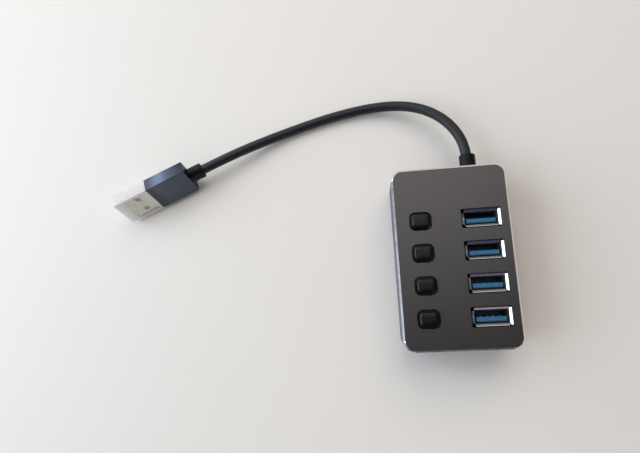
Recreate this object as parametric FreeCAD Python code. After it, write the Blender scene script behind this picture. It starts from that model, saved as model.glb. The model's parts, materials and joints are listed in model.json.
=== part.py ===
import FreeCAD, Part
import math
import os

# A four-port USB hub that lies on a desk, with its lead and plug.
# Millimetres. Origin at the centre of the feet's plane, +Z up, +Y towards the wall
# where the lead leaves, +X towards the column of ports.

V = FreeCAD.Vector
UP = V(0, 0, 1)

# ---------------------------------------------------------------- driving dimensions
HUB_WIDTH = 43.7            # along X
HUB_LENGTH = 69.9           # along Y
HUB_TOP = 20.0              # top face above the desk
FOOT_PROUD = 0.6            # feet below the cover
CORNER_RADIUS = 4.4
WALL = 1.3
TOP_PLATE = 1.5
EDGE_CHAMFER = 0.7

ROWS = 4
FIRST_ROW_Y = 14.05
ROW_PITCH = 12.35
PORT_X = 11.0
BUTTON_X = -11.8

COVER_THICKNESS = 1.6
COVER_GAP = 0.1             # between the cover and the shell's walls
COVER_LIP_HEIGHT = 1.4
COVER_LIP_THICKNESS = 1.0
BOARD_BOTTOM = 5.4
BOARD_THICKNESS = 1.2
BOARD_WIDTH = 39.8
BOARD_LENGTH = 64.4
BOARD_NOTCH = 5.6           # square notch in each corner, round the screw bosses

BOSS_X = 17.3
BOSS_Y = 30.4
BOSS_RADIUS = 2.3
SCREW_RADIUS = 0.95         # M2, thread not cut
PILOT_RADIUS = 1.0
SCREW_LENGTH = 7.0
SCREW_HEAD_RADIUS = 1.9
SCREW_HEAD_HEIGHT = 1.1
POST_X = 17.0
POST_RADIUS = 1.7
FOOT_X = 14.5
FOOT_Y = 24.0
FOOT_RADIUS = 3.5
FOOT_RECESS = 0.4

# standard type A receptacle
PORT_OPENING = (12.5, 5.12)
PORT_SHEET = 0.3
PORT_FLARE = 0.7            # how far the mouth's lip spreads
PORT_FLARE_HEIGHT = 1.0
PORT_LIP_BELOW_TOP = 0.1
PORT_HOLE_GAP = 0.2
PORT_CORNER = 0.5
PORT_BLOCK_HEIGHT = 1.3
PORT_WINDOW = (3.2, 9.8)      # top and bottom of the sprung windows, below the lip
TONGUE_WIDTH = 11.1
TONGUE_THICKNESS = 1.84
TONGUE_WALL_GAP = 0.65      # from the tongue to the nearer wide wall
TONGUE_BELOW_LIP = 1.0
CONTACT_THICKNESS = 0.2
CONTACT_TAIL = 1.6          # below the board's underside

# push switch under each button
SWITCH_WIDTH = 8.0
SWITCH_HEIGHT = 6.4
SWITCH_WALL = 0.8
STEM_WIDTH = 3.4
STEM_CLEARANCE = 0.08
STEM_FLANGE_WIDTH = 5.6
STEM_FLANGE_HEIGHT = 1.4
BUTTON_TRAVEL = 1.6
BUTTON_STOP_GAP = 0.05
SPRING_RADIUS = 2.0         # to the middle of the wire
SPRING_WIRE = 0.2           # wire radius
SPRING_TURNS = 2.5
SPRING_STEPS = 10           # bends in each turn

# button
BUTTON_SIZE = (7.0, 5.8)
BUTTON_CORNER = 1.8
BUTTON_PROUD = 2.0
BUTTON_TOP_ROUND = 1.0
BUTTON_HOLE = (8.6, 7.3)
BUTTON_HOLE_CORNER = 2.3
BUTTON_FLANGE = (9.6, 8.3)
BUTTON_FLANGE_HEIGHT = 0.8
BUTTON_SKIRT_DEPTH = 2.9    # below the top plate
BUTTON_SKIN = 1.2

# lead
LEAD_DIAMETER = 4.2
LEAD_EXIT_X = 10.25
LEAD_EXIT_Z = 10.0
GLAND_RADIUS = 3.2
GLAND_LENGTH = 6.9          # outside the wall
GLAND_FLANGE_RADIUS = 4.3
GLAND_FLANGE_THICKNESS = 1.2
BORE_SQUEEZE = 0.05         # the bores grip the lead by this much, radially
WIRE_RADIUS = 0.4

# plug, lying on one narrow side and leaning
PLUG_FRONT = (-126.6, 36.84)  # the middle of the housing's front face, in plan
PLUG_HEADING = 22.3         # of the plug's axis, from its front towards the lead
PLUG_ROLL = 68.0            # about its axis
PLUG_HOUSING = (18.4, 14.4, 6.4)
PLUG_CORNER = 0.35
PLUG_HOUSING_WALL = 0.8
PLUG_REAR_CHAMFER = 0.3
PLUG_SHELL = (12.0, 4.5)    # standard type A plug
PLUG_SHELL_OUT = 12.0       # in front of the housing
PLUG_SHELL_IN = 6.0         # inside it
PLUG_SHEET = 0.3
PLUG_WINDOW = 2.4
PLUG_WINDOW_V = 3.3
PLUG_WINDOW_U = -6.2
RELIEF_SIZE = (6.6, 5.6)
RELIEF_CORNER = 2.4
RELIEF_OUT = 6.4
RELIEF_IN = 2.4
CAP_LENGTH = 16.0
CAP_CLEARANCE = 0.25
CAP_GAP = 0.1               # to the housing's front face
CAP_END_WALL = 1.0
CAP_END_CORNER = 1.0        # seen on the wide face

# the lead's route: points that the lead's middle line turns at, from inside the hub's
# collar to inside the plug's collar
LEAD_ROUTE = [
    (10.25, 35.4, 10.0),
    (10.25, 44.8, 10.0),
    (6.6, 53.85, 9.9),
    (0.05, 61.3, 8.8),
    (-8.5, 66.45, 6.7),
    (-18.6, 69.1, 4.3),
    (-30.6, 69.4, 2.5),
    (-44.1, 67.4, 2.15),
    (-57.6, 64.15, 2.15),
    (-70.2, 60.4, 2.7),
    (-82.6, 55.45, 5.3),
    (-95.4, 49.64, 7.77),
    (-107.73, 44.58, 7.77),
]

# ---------------------------------------------------------------- worked-out heights
SHELL_BOTTOM = FOOT_PROUD
COVER_TOP = SHELL_BOTTOM + COVER_THICKNESS
BOARD_TOP = BOARD_BOTTOM + BOARD_THICKNESS
PLATE_BOTTOM = HUB_TOP - TOP_PLATE
INNER_WIDTH = HUB_WIDTH - 2 * WALL
INNER_LENGTH = HUB_LENGTH - 2 * WALL
WALL_Y = HUB_LENGTH / 2
INNER_Y = INNER_LENGTH / 2
ROW_Y = [FIRST_ROW_Y - row * ROW_PITCH for row in range(ROWS)]
POST_Y = [FIRST_ROW_Y - gap * ROW_PITCH for gap in (0.5, 2.5)]
LIP_TOP = HUB_TOP - PORT_LIP_BELOW_TOP
SWITCH_TOP = BOARD_TOP + SWITCH_HEIGHT
STEM_FLANGE_TOP = SWITCH_TOP - SWITCH_WALL - BUTTON_STOP_GAP
STEM_FLANGE_BOTTOM = STEM_FLANGE_TOP - STEM_FLANGE_HEIGHT
BUTTON_TOP = HUB_TOP + BUTTON_PROUD
STEM_TOP = BUTTON_TOP - BUTTON_SKIN
LEAD_RADIUS = LEAD_DIAMETER / 2
CORNERS = [(sx, sy) for sx in (-1, 1) for sy in (-1, 1)]


# ---------------------------------------------------------------- helpers
def box(x0, x1, y0, y1, z0, z1):
    return Part.makeBox(x1 - x0, y1 - y0, z1 - z0, V(x0, y0, z0))


def disc(x, y, z0, z1, radius):
    return Part.makeCylinder(radius, z1 - z0, V(x, y, z0))


def rounded_wire(width, depth, radius, z):
    """A rectangle with round corners, centred on the Z axis, at height z."""
    half_w = width / 2 - radius
    half_d = depth / 2 - radius
    edges = []
    corners = [(half_w, half_d), (-half_w, half_d), (-half_w, -half_d), (half_w, -half_d)]
    for index, (cx, cy) in enumerate(corners):
        turn = 90 * index
        circle = Part.Circle(V(cx, cy, z), UP, radius)
        arc = Part.Arc(circle, math.radians(turn), math.radians(turn + 90))
        edges.append(arc.toShape())
    joined = []
    for index, arc in enumerate(edges):
        following = edges[(index + 1) % 4]
        joined.append(arc)
        joined.append(Part.LineSegment(arc.Vertexes[1].Point, following.Vertexes[0].Point).toShape())
    return Part.Wire(joined)


def rounded_prism(width, depth, radius, z0, z1):
    face = Part.Face(rounded_wire(width, depth, radius, z0))
    return face.extrude(V(0, 0, z1 - z0))


def at(shape, x, y, z=0):
    moved = shape.copy()
    moved.translate(V(x, y, z))
    return moved


def edges_at_height(shape, z):
    return [edge for edge in shape.Edges if all(abs(v.Z - z) < 1e-6 for v in edge.Vertexes)]


def tube_path(points):
    """Straight runs joined by the largest tangent arcs that the runs allow, and their radii."""
    points = [V(*point) for point in points]
    edges = []
    radii = []
    start = points[0]
    for before, corner, after in zip(points, points[1:], points[2:]):
        back = (before - corner).normalize()
        ahead = (after - corner).normalize()
        turn = math.pi - back.getAngle(ahead)
        run = min((before - corner).Length, (after - corner).Length)
        reach = 0.45 * run
        radius = reach / math.tan(turn / 2)
        radii.append(radius)
        arc_start = corner + back * reach
        arc_end = corner + ahead * reach
        towards_centre = (back + ahead).normalize()
        to_centre = math.hypot(reach, radius)
        middle = corner + towards_centre * (to_centre - radius)
        edges.append(Part.LineSegment(start, arc_start).toShape())
        edges.append(Part.Arc(arc_start, middle, arc_end).toShape())
        start = arc_end
    edges.append(Part.LineSegment(start, points[-1]).toShape())
    return Part.Wire(edges), radii


def tube(points, radius):
    path, radii = tube_path(points)
    start = V(*points[0])
    along = V(*points[1]) - start
    ring = Part.Wire(Part.Circle(start, along, radius).toShape())
    return path.makePipeShell([ring], True, False), path.Length, radii


def place_on_plug(shape):
    """From the plug's own axes (X to the lead, Y across, Z through) to where it lies."""
    length, width, thickness = PLUG_HOUSING
    roll = math.radians(PLUG_ROLL)
    height = ((width / 2 - PLUG_CORNER) * math.sin(roll)
              + (thickness / 2 - PLUG_CORNER) * math.cos(roll) + PLUG_CORNER)
    spin = FreeCAD.Rotation(UP, PLUG_HEADING).multiply(FreeCAD.Rotation(V(1, 0, 0), PLUG_ROLL))
    placed = shape.copy()
    placed.Placement = FreeCAD.Placement(V(PLUG_FRONT[0], PLUG_FRONT[1], height), spin)
    return placed


def plug_prism(u0, u1, width, thickness, radius):
    """A rounded bar along the plug's own X axis, from u0 to u1."""
    bar = rounded_prism(thickness, width, radius, u0, u1)
    bar.rotate(V(0, 0, 0), V(0, 1, 0), 90)
    return bar


# ---------------------------------------------------------------- casing
def top_shell():
    body = rounded_prism(HUB_WIDTH, HUB_LENGTH, CORNER_RADIUS, SHELL_BOTTOM, HUB_TOP)
    body = body.makeChamfer(EDGE_CHAMFER, edges_at_height(body, HUB_TOP))
    inside = rounded_prism(INNER_WIDTH, INNER_LENGTH, CORNER_RADIUS - WALL,
                           SHELL_BOTTOM, PLATE_BOTTOM)
    body = body.cut(inside)
    for sx, sy in CORNERS:
        x, y = sx * BOSS_X, sy * BOSS_Y
        body = body.fuse(disc(x, y, COVER_TOP, PLATE_BOTTOM + 0.5, BOSS_RADIUS))
        body = body.cut(disc(x, y, COVER_TOP, COVER_TOP + SCREW_LENGTH + 1, PILOT_RADIUS))
    mouth = 2 * (PORT_SHEET + PORT_FLARE + PORT_HOLE_GAP)
    port_hole = rounded_prism(PORT_OPENING[0] + mouth, PORT_OPENING[1] + mouth,
                              PORT_CORNER + PORT_HOLE_GAP, PLATE_BOTTOM - 1, HUB_TOP + 1)
    button_hole = rounded_prism(BUTTON_HOLE[0], BUTTON_HOLE[1], BUTTON_HOLE_CORNER,
                                PLATE_BOTTOM - 1, HUB_TOP + 1)
    for y in ROW_Y:
        body = body.cut(at(port_hole, PORT_X, y))
        body = body.cut(at(button_hole, BUTTON_X, y))
    lead_hole = Part.makeCylinder(GLAND_RADIUS, 2 * WALL, V(LEAD_EXIT_X, INNER_Y - WALL / 2, LEAD_EXIT_Z),
                                  V(0, 1, 0))
    return body.cut(lead_hole).removeSplitter()


def bottom_cover():
    width = INNER_WIDTH - 2 * COVER_GAP
    length = INNER_LENGTH - 2 * COVER_GAP
    radius = CORNER_RADIUS - WALL - COVER_GAP
    lip_top = COVER_TOP + COVER_LIP_HEIGHT
    body = rounded_prism(width, length, radius, SHELL_BOTTOM, lip_top)
    hollow = rounded_prism(width - 2 * COVER_LIP_THICKNESS, length - 2 * COVER_LIP_THICKNESS,
                           radius - COVER_LIP_THICKNESS, COVER_TOP, lip_top)
    body = body.cut(hollow)
    for sx, sy in CORNERS:
        x, y = sx * BOSS_X, sy * BOSS_Y
        body = body.cut(disc(x, y, COVER_TOP, lip_top, BOSS_RADIUS + COVER_GAP))
        body = body.cut(disc(x, y, SHELL_BOTTOM, COVER_TOP, SCREW_RADIUS + 0.2))
        seat = Part.makeCone(SCREW_HEAD_RADIUS + 0.1, SCREW_RADIUS + 0.1, SCREW_HEAD_HEIGHT,
                             V(x, y, SHELL_BOTTOM))
        body = body.cut(seat)
        body = body.cut(disc(sx * FOOT_X, sy * FOOT_Y, SHELL_BOTTOM, SHELL_BOTTOM + FOOT_RECESS,
                             FOOT_RADIUS))
    for x in (-POST_X, POST_X):
        for y in POST_Y:
            body = body.fuse(disc(x, y, COVER_TOP - 0.2, BOARD_BOTTOM, POST_RADIUS))
    return body.removeSplitter()


def cover_screws():
    screws = []
    for sx, sy in CORNERS:
        x, y = sx * BOSS_X, sy * BOSS_Y
        head = Part.makeCone(SCREW_HEAD_RADIUS, SCREW_RADIUS, SCREW_HEAD_HEIGHT,
                             V(x, y, SHELL_BOTTOM))
        shank = disc(x, y, SHELL_BOTTOM, SHELL_BOTTOM + SCREW_LENGTH, SCREW_RADIUS)
        screw = head.fuse(shank)
        for long_x, long_y in ((1.1, 0.25), (0.25, 1.1)):
            screw = screw.cut(box(x - long_x, x + long_x, y - long_y, y + long_y,
                                  SHELL_BOTTOM, SHELL_BOTTOM + 0.7))
        screws.append(screw)
    return Part.makeCompound(screws)


def rubber_feet():
    feet = []
    for sx, sy in CORNERS:
        foot = disc(sx * FOOT_X, sy * FOOT_Y, 0, SHELL_BOTTOM + FOOT_RECESS, FOOT_RADIUS)
        feet.append(foot.makeFillet(0.3, edges_at_height(foot, 0)))
    return Part.makeCompound(feet)


# ---------------------------------------------------------------- board and what is on it
def main_board(tails):
    body = box(-BOARD_WIDTH / 2, BOARD_WIDTH / 2, -BOARD_LENGTH / 2, BOARD_LENGTH / 2,
               BOARD_BOTTOM, BOARD_TOP)
    for sx, sy in CORNERS:
        x, y = sx * BOARD_WIDTH / 2, sy * BOARD_LENGTH / 2
        body = body.cut(box(x - BOARD_NOTCH, x + BOARD_NOTCH, y - BOARD_NOTCH, y + BOARD_NOTCH,
                            BOARD_BOTTOM, BOARD_TOP))
    holes = []
    for x, y, half_x, half_y in tails:
        holes.append(box(x - half_x, x + half_x, y - half_y, y + half_y, BOARD_BOTTOM, BOARD_TOP))
    return body.cut(holes)


def chip(x, y, width, depth, height):
    body = box(x - width / 2, x + width / 2, y - depth / 2, y + depth / 2,
               BOARD_TOP, BOARD_TOP + height)
    return body.makeChamfer(0.12, edges_at_height(body, BOARD_TOP + height))


def bulk_capacitors():
    cans = []
    for y in (-13.5, -22.0):
        seat = box(-4.6, 0.6, y - 2.6, y + 2.6, BOARD_TOP, BOARD_TOP + 0.9)
        can = disc(-2.0, y, BOARD_TOP + 0.9, BOARD_TOP + 5.6, 2.5)
        can = can.makeFillet(0.4, edges_at_height(can, BOARD_TOP + 5.6))
        cans.append(seat.fuse(can))
    return Part.makeCompound(cans)


def ceramic_capacitors():
    return Part.makeCompound([chip(x, y, 0.8, 1.6, 0.8)
                              for x in (-6.8, 2.6) for y in (-6.0, -2.0, 2.0, 6.0, 10.0, 14.0)])


# ---------------------------------------------------------------- ports
def port_contact_places():
    """(x, width, top) of each contact, x from the port's middle, top below the lip."""
    long_ones = [(x, 1.0, 3.4) for x in (-3.5, -1.0, 1.0, 3.5)]
    short_ones = [(x, 0.6, 8.6) for x in (-4.7, -2.25, 0.0, 2.25, 4.7)]
    return long_ones + short_ones


def port_contacts():
    tongue_face = -PORT_OPENING[1] / 2 + TONGUE_WALL_GAP + TONGUE_THICKNESS
    contacts = []
    for x, width, below in port_contact_places():
        contacts.append(box(x - width / 2, x + width / 2, tongue_face,
                            tongue_face + CONTACT_THICKNESS,
                            BOARD_BOTTOM - CONTACT_TAIL, LIP_TOP - below))
    return Part.makeCompound(contacts)


def port_tongue():
    block_w = PORT_OPENING[0] - 0.1
    block_d = PORT_OPENING[1] - 0.1
    block = box(-block_w / 2, block_w / 2, -block_d / 2, block_d / 2,
                BOARD_TOP, BOARD_TOP + PORT_BLOCK_HEIGHT)
    near = -PORT_OPENING[1] / 2 + TONGUE_WALL_GAP
    tongue_top = LIP_TOP - TONGUE_BELOW_LIP
    tongue = box(-TONGUE_WIDTH / 2, TONGUE_WIDTH / 2, near, near + TONGUE_THICKNESS,
                 BOARD_TOP, tongue_top)
    tongue = tongue.makeChamfer(0.3, edges_at_height(tongue, tongue_top))
    return block.fuse(tongue).removeSplitter().cut(port_contacts())


def port_shell():
    outer_w = PORT_OPENING[0] + 2 * PORT_SHEET
    outer_d = PORT_OPENING[1] + 2 * PORT_SHEET
    flare_from = LIP_TOP - PORT_FLARE_HEIGHT
    spread = 2 * PORT_FLARE
    sleeve = rounded_prism(outer_w, outer_d, PORT_CORNER, BOARD_TOP, flare_from)
    flare = Part.makeLoft([rounded_wire(outer_w, outer_d, PORT_CORNER, flare_from),
                           rounded_wire(outer_w + spread, outer_d + spread, PORT_CORNER, LIP_TOP)],
                          True, True)
    inner_radius = PORT_CORNER - PORT_SHEET
    opening = rounded_prism(PORT_OPENING[0], PORT_OPENING[1], inner_radius, BOARD_TOP, flare_from)
    mouth = Part.makeLoft([rounded_wire(PORT_OPENING[0], PORT_OPENING[1], inner_radius, flare_from),
                           rounded_wire(PORT_OPENING[0] + spread, PORT_OPENING[1] + spread,
                                        inner_radius, LIP_TOP)], True, True)
    body = sleeve.fuse(flare).cut(opening).cut(mouth)
    head, foot = (LIP_TOP - depth for depth in PORT_WINDOW)
    for side in (-1, 1):
        wall_y = side * (PORT_OPENING[1] + PORT_SHEET) / 2
        for x in (-3.2, 3.2):
            window = box(x - 1.0, x + 1.0, wall_y - 0.5, wall_y + 0.5, foot, head)
            leaf = box(x - 0.7, x + 0.7, wall_y - 0.12, wall_y + 0.12, foot - 0.1, head - 0.4)
            leaf.rotate(V(x, wall_y, foot - 0.1), V(1, 0, 0), side * 3.0)
            body = body.cut(window).fuse(leaf)
        tab_x = side * (PORT_OPENING[0] + PORT_SHEET) / 2
        half = PORT_SHEET / 2
        body = body.fuse(box(tab_x - half, tab_x + half, -1.0, 1.0,
                             BOARD_BOTTOM - CONTACT_TAIL, BOARD_TOP))
    return body.removeSplitter()


def port_tails(row_y):
    """Places and half sizes of the board's slots for one port's contacts and tabs."""
    tongue_face = -PORT_OPENING[1] / 2 + TONGUE_WALL_GAP + TONGUE_THICKNESS
    y = row_y + tongue_face + CONTACT_THICKNESS / 2
    slots = [(PORT_X + x, y, width / 2 + 0.05, CONTACT_THICKNESS / 2 + 0.05)
             for x, width, below in port_contact_places()]
    for side in (-1, 1):
        tab_x = PORT_X + side * (PORT_OPENING[0] + PORT_SHEET) / 2
        slots.append((tab_x, row_y, PORT_SHEET / 2 + 0.1, 1.1))
    return slots


# ---------------------------------------------------------------- switches and buttons
def switch_housing():
    half = SWITCH_WIDTH / 2
    body = box(-half, half, -half, half, BOARD_TOP, SWITCH_TOP)
    room = half - SWITCH_WALL
    body = body.cut(box(-room, room, -room, room, BOARD_TOP + SWITCH_WALL,
                        SWITCH_TOP - SWITCH_WALL))
    hole = STEM_WIDTH / 2 + STEM_CLEARANCE
    return body.cut(box(-hole, hole, -hole, hole, SWITCH_TOP - SWITCH_WALL, SWITCH_TOP))


def switch_plunger():
    half = STEM_WIDTH / 2
    wide = STEM_FLANGE_WIDTH / 2
    stem = box(-half, half, -half, half, STEM_FLANGE_BOTTOM, STEM_TOP)
    flange = box(-wide, wide, -wide, wide, STEM_FLANGE_BOTTOM, STEM_FLANGE_TOP)
    return stem.fuse(flange).removeSplitter()


def switch_spring():
    floor = BOARD_TOP + SWITCH_WALL + SPRING_WIRE + 0.05
    rise = STEM_FLANGE_BOTTOM - floor - SPRING_WIRE - 0.05
    bends = round(SPRING_TURNS * SPRING_STEPS)
    points = []
    for bend in range(bends + 1):
        angle = 2 * math.pi * bend / SPRING_STEPS
        points.append((SPRING_RADIUS * math.cos(angle), SPRING_RADIUS * math.sin(angle),
                       floor + rise * bend / bends))
    return tube(points, SPRING_WIRE)[0]


def button_cap():
    skirt_bottom = PLATE_BOTTOM - BUTTON_SKIRT_DEPTH
    body = rounded_prism(BUTTON_SIZE[0], BUTTON_SIZE[1], BUTTON_CORNER, skirt_bottom, BUTTON_TOP)
    body = body.makeFillet(BUTTON_TOP_ROUND, edges_at_height(body, BUTTON_TOP))
    flange_top = PLATE_BOTTOM - BUTTON_STOP_GAP
    flange = rounded_prism(BUTTON_FLANGE[0], BUTTON_FLANGE[1], BUTTON_HOLE_CORNER,
                           flange_top - BUTTON_FLANGE_HEIGHT, flange_top)
    half = STEM_WIDTH / 2
    socket = box(-half, half, -half, half, skirt_bottom, STEM_TOP)
    return body.fuse(flange).removeSplitter().cut(socket)


# ---------------------------------------------------------------- lead
def cable_gland():
    axis = V(0, 1, 0)
    outside = Part.makeCylinder(GLAND_RADIUS, WALL + GLAND_LENGTH,
                                V(LEAD_EXIT_X, INNER_Y, LEAD_EXIT_Z), axis)
    end_y = WALL_Y + GLAND_LENGTH
    rim = [edge for edge in outside.Edges if all(abs(v.Y - end_y) < 1e-6 for v in edge.Vertexes)]
    outside = outside.makeFillet(0.5, rim)
    flange = Part.makeCylinder(GLAND_FLANGE_RADIUS, GLAND_FLANGE_THICKNESS,
                               V(LEAD_EXIT_X, INNER_Y - GLAND_FLANGE_THICKNESS, LEAD_EXIT_Z), axis)
    bore = Part.makeCylinder(LEAD_RADIUS - BORE_SQUEEZE, 20, V(LEAD_EXIT_X, INNER_Y - 3, LEAD_EXIT_Z),
                             axis)
    return outside.fuse(flange).removeSplitter().cut(bore)


def hub_wires():
    """The lead's wires, from its cut end inside the collar down to the board."""
    wires = []
    start_y = LEAD_ROUTE[0][1]
    for index in range(4):
        spread = index - 1.5
        x0 = LEAD_EXIT_X + 0.95 * spread
        x1 = LEAD_EXIT_X + 2.0 * spread
        points = [(x0, start_y, LEAD_EXIT_Z), (x0, 30.0, LEAD_EXIT_Z), (x1, 25.5, 9.6),
                  (x1, 24.0, BOARD_TOP + 1.5), (x1, 24.0, BOARD_TOP)]
        wires.append(tube(points, WIRE_RADIUS)[0])
    return Part.makeCompound(wires)


# ---------------------------------------------------------------- plug
def plug_housing():
    length, width, thickness = PLUG_HOUSING
    body = plug_prism(0, length, width, thickness, PLUG_CORNER)
    rear = [edge for edge in body.Edges if all(abs(v.X - length) < 1e-6 for v in edge.Vertexes)]
    body = body.makeChamfer(PLUG_REAR_CHAMFER, rear)
    front = [edge for edge in body.Edges if all(abs(v.X) < 1e-6 for v in edge.Vertexes)]
    body = body.makeChamfer(0.25, front)
    room = plug_prism(-1, length - PLUG_HOUSING_WALL, width - 2 * PLUG_HOUSING_WALL,
                      thickness - 2 * PLUG_HOUSING_WALL, 0.3)
    exit_hole = plug_prism(length - 2, length + 1, RELIEF_SIZE[0], RELIEF_SIZE[1], RELIEF_CORNER)
    return place_on_plug(body.cut(room).cut(exit_hole))


def relief_body():
    """The collar's outside, with the wider foot that the core holds."""
    length = PLUG_HOUSING[0]
    end = length + RELIEF_OUT
    collar = plug_prism(length - PLUG_HOUSING_WALL, end, RELIEF_SIZE[0], RELIEF_SIZE[1],
                        RELIEF_CORNER)
    rim = [edge for edge in collar.Edges if all(abs(v.X - end) < 1e-6 for v in edge.Vertexes)]
    collar = collar.makeFillet(0.5, rim)
    foot_start = length - PLUG_HOUSING_WALL - RELIEF_IN
    foot = plug_prism(foot_start, length - PLUG_HOUSING_WALL, RELIEF_SIZE[0] + 1.4,
                      PLUG_HOUSING[2] - 2 * PLUG_HOUSING_WALL, 0.3)
    return collar.fuse(foot).removeSplitter()


def plug_strain_relief():
    bore = Part.makeCylinder(LEAD_RADIUS - BORE_SQUEEZE, 20, V(PLUG_HOUSING[0] - 5, 0, 0),
                             V(1, 0, 0))
    return place_on_plug(relief_body().cut(bore))


def plug_tube(u0, u1, grow):
    return plug_prism(u0, u1, PLUG_SHELL[0] + 2 * grow, PLUG_SHELL[1] + 2 * grow, 0.3)


def plug_core():
    """The moulding that fills the housing and holds the metal plug and the collar's foot."""
    length, width, thickness = PLUG_HOUSING
    body = plug_prism(0, length - PLUG_HOUSING_WALL, width - 2 * PLUG_HOUSING_WALL,
                      thickness - 2 * PLUG_HOUSING_WALL, 0.3)
    body = body.cut(plug_tube(-1, PLUG_SHELL_IN, 0))
    body = body.cut(relief_body())
    channel = plug_prism(PLUG_SHELL_IN - 1, length, 8.6, 2.0, 0.3)
    return place_on_plug(body.cut(channel))


def plug_shell():
    body = plug_tube(-PLUG_SHELL_OUT, PLUG_SHELL_IN, 0)
    body = body.cut(plug_tube(-PLUG_SHELL_OUT - 1, PLUG_SHELL_IN + 1, -PLUG_SHEET))
    half = PLUG_WINDOW / 2
    for v in (-PLUG_WINDOW_V, PLUG_WINDOW_V):
        body = body.cut(box(PLUG_WINDOW_U - half, PLUG_WINDOW_U + half, v - half, v + half, -5, 5))
    return place_on_plug(body)


def plug_contact_boxes():
    contacts = []
    for v, front in ((-3.5, -10.6), (-1.0, -9.6), (1.0, -9.6), (3.5, -10.6)):
        contacts.append(box(front, PLUG_SHELL_IN + 1.5, v - 0.5, v + 0.5, 0, CONTACT_THICKNESS))
    return Part.makeCompound(contacts)


def plug_insulator():
    half_w = PLUG_SHELL[0] / 2 - 2 * PLUG_SHEET
    half_t = PLUG_SHELL[1] / 2 - PLUG_SHEET
    blade = box(-PLUG_SHELL_OUT + 0.4, PLUG_SHELL_IN, -half_w, half_w, -half_t, 0)
    block = box(0.0, PLUG_SHELL_IN, -half_w, half_w, -half_t, half_t)
    return place_on_plug(blade.fuse(block).removeSplitter().cut(plug_contact_boxes()))


def plug_wires():
    wires = []
    for v in (-1.3, -0.45, 0.45, 1.3):
        start = PLUG_SHELL_IN + 1.5
        end = PLUG_HOUSING[0] + 1.9
        wires.append(Part.makeCylinder(WIRE_RADIUS, end - start, V(start, v, 0.1), V(1, 0, 0)))
    return place_on_plug(Part.makeCompound(wires))


def plug_cap():
    length, width, thickness = PLUG_HOUSING
    body = box(-CAP_LENGTH, -CAP_GAP, -width / 2, width / 2, -thickness / 2, thickness / 2)
    tip = [edge for edge in body.Edges
           if all(abs(v.X + CAP_LENGTH) < 1e-6 for v in edge.Vertexes)
           and abs(edge.Vertexes[0].Z - edge.Vertexes[1].Z) > 1]
    body = body.makeFillet(CAP_END_CORNER, tip)
    rims = [edge for edge in body.Edges
            if all(abs(abs(v.Z) - thickness / 2) < 1e-6 for v in edge.Vertexes)
            and not all(abs(v.X + CAP_GAP) < 1e-6 for v in edge.Vertexes)]
    rims = [edge for edge in rims if edge.Vertexes[0].Z * edge.Vertexes[-1].Z > 0]
    body = body.makeFillet(PLUG_CORNER, rims)
    room = plug_tube(-CAP_LENGTH + CAP_END_WALL, 1, CAP_CLEARANCE)
    return place_on_plug(body.cut(room))


# ---------------------------------------------------------------- the nodes
def build_nodes():
    tails = [slot for y in ROW_Y for slot in port_tails(y)]
    lead, lead_length, radii = tube(LEAD_ROUTE, LEAD_RADIUS)
    section = math.pi * LEAD_RADIUS ** 2
    print("lead length %.1f mm, volume over section times length %.4f"
          % (lead_length, lead.Volume / (section * lead_length)))
    print("bend radii of the lead, mm:", [round(radius, 1) for radius in radii])
    nodes = {
        "top_shell": top_shell(),
        "bottom_cover": bottom_cover(),
        "cover_screws": cover_screws(),
        "rubber_feet": rubber_feet(),
        "main_board": main_board(tails),
        "hub_controller": chip(-2.0, 4.0, 7.0, 7.0, 0.9),
        "crystal": chip(-2.0, 12.0, 5.0, 3.2, 1.0),
        "voltage_regulator": chip(-2.0, 21.0, 6.5, 3.5, 1.6),
        "bulk_capacitors": bulk_capacitors(),
        "ceramic_capacitors": ceramic_capacitors(),
        "cable_gland": cable_gland(),
        "cable": lead,
        "hub_wires": hub_wires(),
        "plug_housing": plug_housing(),
        "plug_core": plug_core(),
        "plug_strain_relief": plug_strain_relief(),
        "plug_shell": plug_shell(),
        "plug_insulator": plug_insulator(),
        "plug_contacts": place_on_plug(plug_contact_boxes()),
        "plug_wires": plug_wires(),
        "plug_cap": plug_cap(),
    }
    per_row = {
        "port_shell": (port_shell(), PORT_X),
        "port_tongue": (port_tongue(), PORT_X),
        "port_contacts": (port_contacts(), PORT_X),
        "switch_housing": (switch_housing(), BUTTON_X),
        "switch_plunger": (switch_plunger(), BUTTON_X),
        "switch_spring": (switch_spring(), BUTTON_X),
        "button_cap": (button_cap(), BUTTON_X),
    }
    for name, (shape, x) in per_row.items():
        for row, y in enumerate(ROW_Y, start=1):
            nodes["%s_%d" % (name, row)] = at(shape, x, y)
    return nodes


def main():
    os.makedirs("parts", exist_ok=True)
    for name, shape in build_nodes().items():
        if not shape.isValid() or shape.Volume <= 0:
            print("bad solid:", name)
        shape.exportStep("parts/%s.step" % name)
        print("%-22s solids %d  volume %.1f" % (name, len(shape.Solids), shape.Volume))


main()
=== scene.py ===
import json
import math
from contextlib import contextmanager
from itertools import product

import bmesh
import bpy
from mathutils import Matrix, Vector


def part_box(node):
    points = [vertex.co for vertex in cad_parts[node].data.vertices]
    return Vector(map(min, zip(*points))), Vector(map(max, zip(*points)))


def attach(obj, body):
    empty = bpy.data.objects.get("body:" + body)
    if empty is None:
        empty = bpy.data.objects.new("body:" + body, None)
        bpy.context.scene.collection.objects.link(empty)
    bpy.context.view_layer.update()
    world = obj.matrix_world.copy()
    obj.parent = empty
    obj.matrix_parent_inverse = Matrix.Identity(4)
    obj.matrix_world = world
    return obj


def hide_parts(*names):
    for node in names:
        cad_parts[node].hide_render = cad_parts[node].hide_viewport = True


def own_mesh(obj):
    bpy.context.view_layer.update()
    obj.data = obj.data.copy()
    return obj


# A four-port USB hub lying on a table, with its lead and capped plug.
# Blender works in metres. The sizes of the hub's and the plug's pieces are in millimetres,
# and are multiplied by MM where their meshes are made.

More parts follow.
